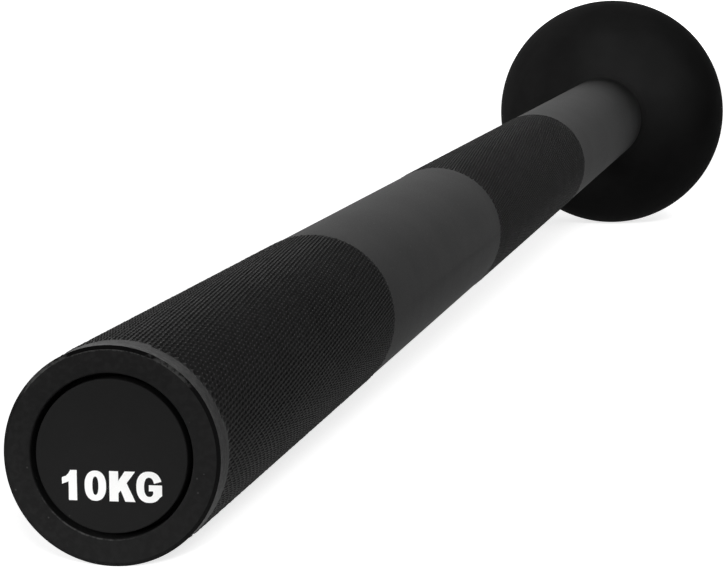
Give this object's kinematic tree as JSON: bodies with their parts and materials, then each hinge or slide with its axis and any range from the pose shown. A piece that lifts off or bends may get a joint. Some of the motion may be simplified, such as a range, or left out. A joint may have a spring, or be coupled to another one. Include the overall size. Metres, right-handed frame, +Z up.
{
  "type": "macebell",
  "caption": "Strength-training mace: a solid ball head welded to a long, knurled, black-coated steel tube that a moulded plug closes at the grip end; lies on the floor.",
  "frame": {"origin": "middle of the underside of the mace's bounding box, on the floor it lies on", "axes": "+Y along the floor from the grip end to the ball head, +Z up, +X to the right as seen from the grip end"},
  "size_m": [0.114, 0.9984, 0.1139],
  "materials": {
    "shaft_coat": "satin black powder coat on steel, worn a little brighter on the knurl's crests",
    "head_coat": "matt black powder coat with a fine orange-peel grain",
    "weld_coat": "the same black powder coat over a dressed fillet weld",
    "plug_plastic": "matt black moulded plastic with a pale printed weight mark"
  },
  "bodies": {
    "root": {"shaft_tube": "shaft_coat", "ball_head": "head_coat", "weld_bead": "weld_coat", "end_plug": "plug_plastic"}
  },
  "joints": []
}
